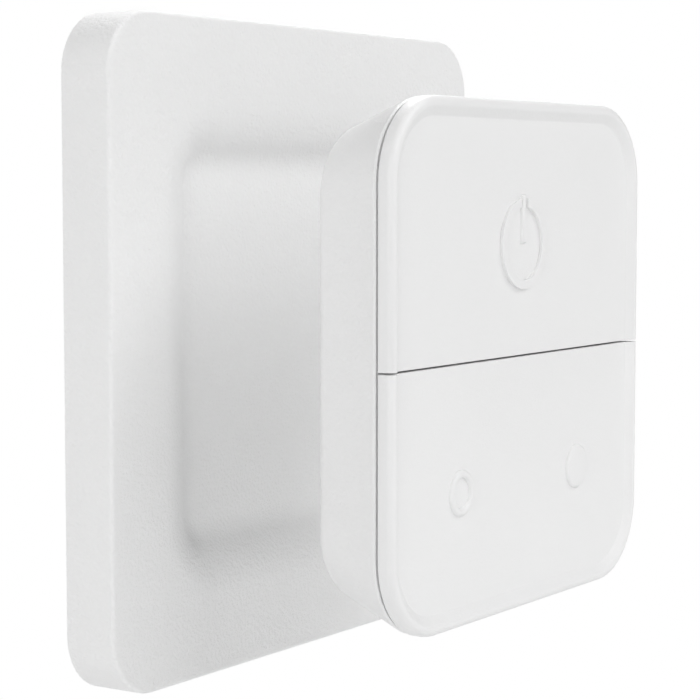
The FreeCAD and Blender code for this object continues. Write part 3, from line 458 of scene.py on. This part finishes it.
DIM_PLUNGER_PLACE = 21.5
DIM_PLUNGER_LEVEL = -15.4
EYE_WIDTH = 2.72
EYE_BORE = 1.62
EYE_THICK = 2.2
EYE_SEGMENTS = 32
EYE_LEVELS = (-6.9, -22.0)
PIN_PLACE = -1.55
KEY_WHITE = (0.82, 0.82, 0.82, 1.0)
key_white = moulded("key_white", KEY_WHITE, roughness=0.42, grain_size=0.3, grain_depth=0.045)
slope = math.atan((KEY_RIM - KEY_FACE) / KEY_BEVEL)


def block(bm, width, height, start, end, x, z):
    """A plain rib inside a key, from one height above the housing's rim to another."""
    place = Matrix.Translation((x, -(start + end) / 2, z)) @ Matrix.Diagonal((width, end - start, height, 1))
    bmesh.ops.create_cube(bm, size=1, matrix=place)


def drawn_out(bm, faces, move):
    """Draws flat faces out into a solid, and gives the faces at its far end."""
    made = bmesh.ops.extrude_face_region(bm, geom=faces)["geom"]
    bmesh.ops.translate(bm, vec=move, verts=[item for item in made if isinstance(item, bmesh.types.BMVert)])
    return [item for item in made if isinstance(item, bmesh.types.BMFace)]


def key_cap(side_of_seam):
    """Half of the dished cap, cut at the seam. Heights are above the housing's front rim."""
    bm = bmesh.new()
    front = rounded_square(bm, KEY_SIDE, KEY_CORNER, -KEY_GAP - REAR_RADIUS, FRONT)
    rim_start = RIM_RADIUS * math.tan((INWARD + slope) / 2)
    crease_start = KEY_CREASE * math.tan(slope / 2)
    run(bm, front, KEY_RIM - rim_start - KEY_GAP - REAR_RADIUS, STRAIGHT_ON)
    turn(bm, front, RIM_RADIUS, STRAIGHT_ON, INWARD + slope, RIM_STEPS)
    run(bm, front, KEY_BEVEL / math.cos(slope) - rim_start - crease_start, INWARD + slope)
    turn(bm, front, KEY_CREASE, INWARD + slope, INWARD, SMALL_EDGE_STEPS)
    run(bm, front, END_STRIP, INWARD)
    rear = rounded_square(bm, KEY_SIDE, KEY_CORNER, -KEY_GAP - REAR_RADIUS, BACK)
    turn(bm, rear, REAR_RADIUS, STRAIGHT_ON, INWARD, SMALL_EDGE_STEPS)
    run(bm, rear, LIP_INSET - REAR_RADIUS, INWARD)
    run(bm, rear, KEY_GAP - KEY_FACE + KEY_TOP + LIP_DEPTH, STRAIGHT_ON)
    run(bm, rear, LIP_WALL, INWARD)
    run(bm, rear, LIP_DEPTH, BACKWARD)
    bmesh.ops.remove_doubles(bm, verts=bm.verts, dist=SAME_PLACE)
    bmesh.ops.recalc_face_normals(bm, faces=bm.faces)
    bmesh.ops.bisect_plane(
        bm, geom=bm.verts[:] + bm.edges[:] + bm.faces[:], plane_co=(0, 0, side_of_seam * KEY_SEAM / 2),
        plane_no=(0, 0, side_of_seam), clear_inner=True,
    )
    cut = [edge for edge in bm.edges if edge.is_boundary]
    bmesh.ops.holes_fill(bm, edges=cut, sides=0)
    shown = [edge for edge in cut if all(-vert.co.y > KEY_GAP + REAR_RADIUS / 2 for vert in edge.verts)]
    bmesh.ops.bevel(
        bm, geom=shown, offset=SEAM_RADIUS, offset_type="OFFSET", segments=SEAM_STEPS, profile=0.5,
        affect="EDGES", material=-1, clamp_overlap=True,
    )
    inner = KEY_FACE - KEY_TOP
    wall_level = side_of_seam * (KEY_SEAM / 2 + LIP_WALL / 2 + SEAM_WALL_SHIFT)
    wall_width = KEY_SIDE - 2 * LIP_INSET - 2 * LIP_WALL + JOINT
    block(bm, wall_width, LIP_WALL, inner - LIP_DEPTH, inner + ROOT, 0, wall_level)
    return bm


def set_on_remote(bm):
    """Moves what was drawn about the keys' centre to its place in front of the housing's rim."""
    bmesh.ops.translate(bm, vec=(0, HOUSING_FRONT, REMOTE_LEVEL), verts=bm.verts)


power_bm = key_cap(1)
for x, z in LEG_PLACES:
    block(power_bm, *LEG, LEG_END, KEY_FACE - KEY_TOP + ROOT, x, z)
    outward = math.copysign(BARB_REACH / 2, x)
    block(power_bm, LEG[0] + BARB_REACH, LEG[1], LEG_END, LEG_END + BARB_THICK, x + outward, z)
peg(power_bm, PLUNGER_WIDTH, -PLUNGER_END, KEY_TOP - KEY_FACE - ROOT, 0, POWER_PLUNGER_LEVEL)
set_on_remote(power_bm)
power_key = finished(power_bm, "power_key_cap", key_white, "power_key")
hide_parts("power_key")

dimmer_bm = key_cap(-1)
for x in (-DIM_PLUNGER_PLACE, DIM_PLUNGER_PLACE):
    peg(dimmer_bm, PLUNGER_WIDTH, -PLUNGER_END, KEY_TOP - KEY_FACE - ROOT, x, DIM_PLUNGER_LEVEL)
for level in EYE_LEVELS:
    disc = Matrix.Translation((0, -PIN_PLACE, level - EYE_THICK / 2))
    known = set(dimmer_bm.faces)
    bmesh.ops.create_circle(
        dimmer_bm, cap_ends=True, segments=EYE_SEGMENTS, radius=EYE_WIDTH / 2, matrix=disc
    )
    middle = next(face for face in dimmer_bm.faces if face not in known)
    run(dimmer_bm, middle, (EYE_WIDTH - EYE_BORE) / 2, INWARD)
    bmesh.ops.delete(dimmer_bm, geom=[middle], context="FACES_ONLY")
    ring = [face for face in dimmer_bm.faces if face not in known]
    drawn_out(dimmer_bm, ring, (0, 0, EYE_THICK))
    neck_start = PIN_PLACE + EYE_BORE / 2 + JOINT
    block(dimmer_bm, EYE_WIDTH, EYE_THICK, neck_start, KEY_FACE - KEY_TOP + ROOT, 0, level)
set_on_remote(dimmer_bm)
dimmer_key = finished(dimmer_bm, "dimmer_key_cap", key_white, "dimmer_key")
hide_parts("dimmer_key")


# Marks: a power symbol on the upper key, and a ring and a dot on the lower key for down and up. They are
# moulded with the keys, in low relief with softened edges.
MARK_RISE = 0.4
MARK_ROOT = 0.06
MARK_SOFT = 0.42
MARK_STEPS = 4
MARK_SEGMENTS = 96
POWER_LEVEL = 13.6
POWER_WIDTH = 11.0
POWER_LINE = 1.05
BAR_WIDTH = 1.1
BAR_LENGTH = 5.9
BAR_GAP = 0.3
DIM_PLACE = 14.5
DIM_LEVEL = -15.1
RING_WIDTH = 5.5
RING_LINE = 1.0
DOT_WIDTH = 5.6


def flat_round(bm, width, x, z):
    """A round face on a key's face, a little below its surface."""
    known = set(bm.faces)
    place = Matrix.Translation((x, MARK_ROOT - KEY_FACE, z)) @ Matrix.Rotation(FRONT, 4, "X")
    bmesh.ops.create_circle(bm, cap_ends=True, segments=MARK_SEGMENTS, radius=width / 2, matrix=place)
    return next(face for face in bm.faces if face not in known)


def raised(bm, faces):
    """Lifts flat faces into relief and softens their edges."""
    tops = drawn_out(bm, faces, (0, -MARK_RISE - MARK_ROOT, 0))
    rims = {edge for face in tops for edge in face.edges if sum(f in tops for f in edge.link_faces) == 1}
    bmesh.ops.bevel(
        bm, geom=list(rims), offset=MARK_SOFT, offset_type="OFFSET", segments=MARK_STEPS, profile=0.5,
        affect="EDGES", material=-1, clamp_overlap=True,
    )


mark_bm = bmesh.new()
disc = flat_round(mark_bm, POWER_WIDTH, 0, POWER_LEVEL)
run(mark_bm, disc, POWER_LINE, INWARD)
bmesh.ops.delete(mark_bm, geom=[disc], context="FACES_ONLY")
gap_side = BAR_WIDTH / 2 + BAR_GAP
for side in (-1, 1):
    everything = mark_bm.verts[:] + mark_bm.edges[:] + mark_bm.faces[:]
    upper = [
        item for item in everything
        if all(vert.co.z > POWER_LEVEL for vert in getattr(item, "verts", [item]))
    ]
    bmesh.ops.bisect_plane(mark_bm, geom=upper, plane_co=(side * gap_side, 0, 0), plane_no=(side, 0, 0))
gap = [
    face for face in mark_bm.faces
    if abs(face.calc_center_median().x) < gap_side and face.calc_center_median().z > POWER_LEVEL
]
bmesh.ops.delete(mark_bm, geom=gap, context="FACES")
raised(mark_bm, mark_bm.faces[:])
known = set(mark_bm.faces)
bar_place = Matrix.Translation((0, MARK_ROOT - KEY_FACE, POWER_LEVEL + BAR_LENGTH / 2))
bar_place = bar_place @ Matrix.Rotation(FRONT, 4, "X") @ Matrix.Diagonal((BAR_WIDTH, BAR_LENGTH, 1, 1))
bmesh.ops.create_grid(mark_bm, x_segments=1, y_segments=1, size=0.5, matrix=bar_place)
raised(mark_bm, [face for face in mark_bm.faces if face not in known])
set_on_remote(mark_bm)
power_mark = finished(mark_bm, "power_mark", key_white, "power_key")

mark_bm = bmesh.new()
disc = flat_round(mark_bm, RING_WIDTH, -DIM_PLACE, DIM_LEVEL)
run(mark_bm, disc, RING_LINE, INWARD)
bmesh.ops.delete(mark_bm, geom=[disc], context="FACES_ONLY")
raised(mark_bm, mark_bm.faces[:])
set_on_remote(mark_bm)
down_mark = finished(mark_bm, "dim_down_mark", key_white, "dimmer_key")

mark_bm = bmesh.new()
raised(mark_bm, [flat_round(mark_bm, DOT_WIDTH, DIM_PLACE, DIM_LEVEL)])
set_on_remote(mark_bm)
up_mark = finished(mark_bm, "dim_up_mark", key_white, "dimmer_key")


# Floor: a plain pale sheet under the switch. The camera sees it as the white of the studio, and it still
# throws its soft light up.
FLOOR_LEVEL = -250.0
FLOOR_REACH = 6000.0
FLOOR_WHITE = (0.8, 0.8, 0.8, 1.0)
FLOOR_ROUGHNESS = 0.9
floor_bm = bmesh.new()
floor_place = Matrix.Translation((0, 0, FLOOR_LEVEL * TO_METRES))
bmesh.ops.create_grid(floor_bm, x_segments=1, y_segments=1, size=FLOOR_REACH * TO_METRES, matrix=floor_place)
floor_mesh = bpy.data.meshes.new("floor")
floor_bm.to_mesh(floor_mesh)
floor_bm.free()
floor = bpy.data.objects.new("floor", floor_mesh)
bpy.context.scene.collection.objects.link(floor)
floor_white = bpy.data.materials.new("floor_white")
floor_white.use_nodes = True
tree = floor_white.node_tree
shader = tree.nodes["Principled BSDF"]
shader.inputs["Base Color"].default_value = FLOOR_WHITE
shader.inputs["Roughness"].default_value = FLOOR_ROUGHNESS
glow = tree.nodes.new("ShaderNodeEmission")
glow.inputs["Color"].default_value = (1, 1, 1, 1)
seen = tree.nodes.new("ShaderNodeLightPath")
blend = tree.nodes.new("ShaderNodeMixShader")
tree.links.new(seen.outputs["Is Camera Ray"], blend.inputs["Fac"])
tree.links.new(shader.outputs["BSDF"], blend.inputs[1])
tree.links.new(glow.outputs["Emission"], blend.inputs[2])
tree.links.new(blend.outputs["Shader"], tree.nodes["Material Output"].inputs["Surface"])
floor_mesh.materials.append(floor_white)


# Studio: a white tent all round. How brightly each of its six sides glows gives the soft light its
# direction. The camera sees the tent itself as plain white.
TENT_GLOW = {"left": 0.2, "right": 0.15, "front": 0.62, "back": 0.2, "below": 0.1, "above": 0.1}
world = bpy.data.worlds.new("studio")
world.use_nodes = True
bpy.context.scene.world = world
tree = world.node_tree
tent = tree.nodes["Background"]
tent.inputs["Color"].default_value = (1, 1, 1, 1)
direction = tree.nodes.new("ShaderNodeSeparateXYZ")
tree.links.new(tree.nodes.new("ShaderNodeTexCoord").outputs["Generated"], direction.inputs["Vector"])


def worked_out(operation, first, second):
    """One step of arithmetic on the tent's glow."""
    step = tree.nodes.new("ShaderNodeMath")
    step.operation = operation
    tree.links.new(first, step.inputs[0])
    if isinstance(second, (int, float)):
        step.inputs[1].default_value = second
    else:
        tree.links.new(second, step.inputs[1])
    return step.outputs["Value"]


total = None
for number, strength in enumerate(TENT_GLOW.values()):
    towards = worked_out("MULTIPLY", direction.outputs[number // 2], 1 if number % 2 else -1)
    facing = worked_out("POWER", worked_out("MAXIMUM", towards, 0), 2)
    glow = worked_out("MULTIPLY", facing, strength)
    total = glow if total is None else worked_out("ADD", total, glow)
tree.links.new(total, tent.inputs["Strength"])
plain = tree.nodes.new("ShaderNodeBackground")
plain.inputs["Color"].default_value = (1, 1, 1, 1)
seen = tree.nodes.new("ShaderNodeLightPath")
blend = tree.nodes.new("ShaderNodeMixShader")
tree.links.new(seen.outputs["Is Camera Ray"], blend.inputs["Fac"])
tree.links.new(tent.outputs["Background"], blend.inputs[1])
tree.links.new(plain.outputs["Background"], blend.inputs[2])
tree.links.new(blend.outputs["Shader"], tree.nodes["World Output"].inputs["Surface"])
bpy.context.scene.view_settings.view_transform = "Standard"


# Studio lamps: five broad soft lights, far off. The key light stands in front on the right and above, with
# a weaker one straight in front. A low one on the left lights the sides, and two behind throw light up
# from the floor.
LAMP_BREADTH = math.radians(28)
LAMPS = {
    "key_lamp": ((0.64, -0.77, 1), 1.1),
    "front_lamp": ((0, -1, 0.58), 0.42),
    "side_lamp": ((-0.93, -0.37, 0.27), 0.86),
    "rear_right_lamp": ((0.87, 0.5, 1), 1.42),
    "rear_left_lamp": ((-0.87, 0.5, 1), 0.78),
}
for name, (way, power) in LAMPS.items():
    light = bpy.data.lights.new(name, "SUN")
    light.angle = LAMP_BREADTH
    light.energy = power
    lamp = bpy.data.objects.new(name, light)
    bpy.context.scene.collection.objects.link(lamp)
    lamp.rotation_euler = (-Vector(way)).to_track_quat("-Z", "Y").to_euler()


# Camera: close in front of the plate's left side and a little above its middle, looking slightly down.
# Place, turn and lens were fitted to the outlines in the photograph.
CAMERA_PLACE = (-0.2278456, -0.1627995, 0.0201339)
CAMERA_YAW = math.radians(56.733)
CAMERA_PITCH = math.radians(4.476)
CAMERA_LENS = 109.833
CAMERA_SENSOR = 36
camera = bpy.data.objects.new("camera", bpy.data.cameras.new("camera"))
bpy.context.scene.collection.objects.link(camera)
ahead = Vector((
    math.sin(CAMERA_YAW) * math.cos(CAMERA_PITCH),
    math.cos(CAMERA_YAW) * math.cos(CAMERA_PITCH),
    -math.sin(CAMERA_PITCH),
))
camera.location = CAMERA_PLACE
camera.rotation_euler = ahead.to_track_quat("-Z", "Y").to_euler()
camera.data.lens = CAMERA_LENS
camera.data.sensor_width = CAMERA_SENSOR
bpy.context.scene.camera = camera
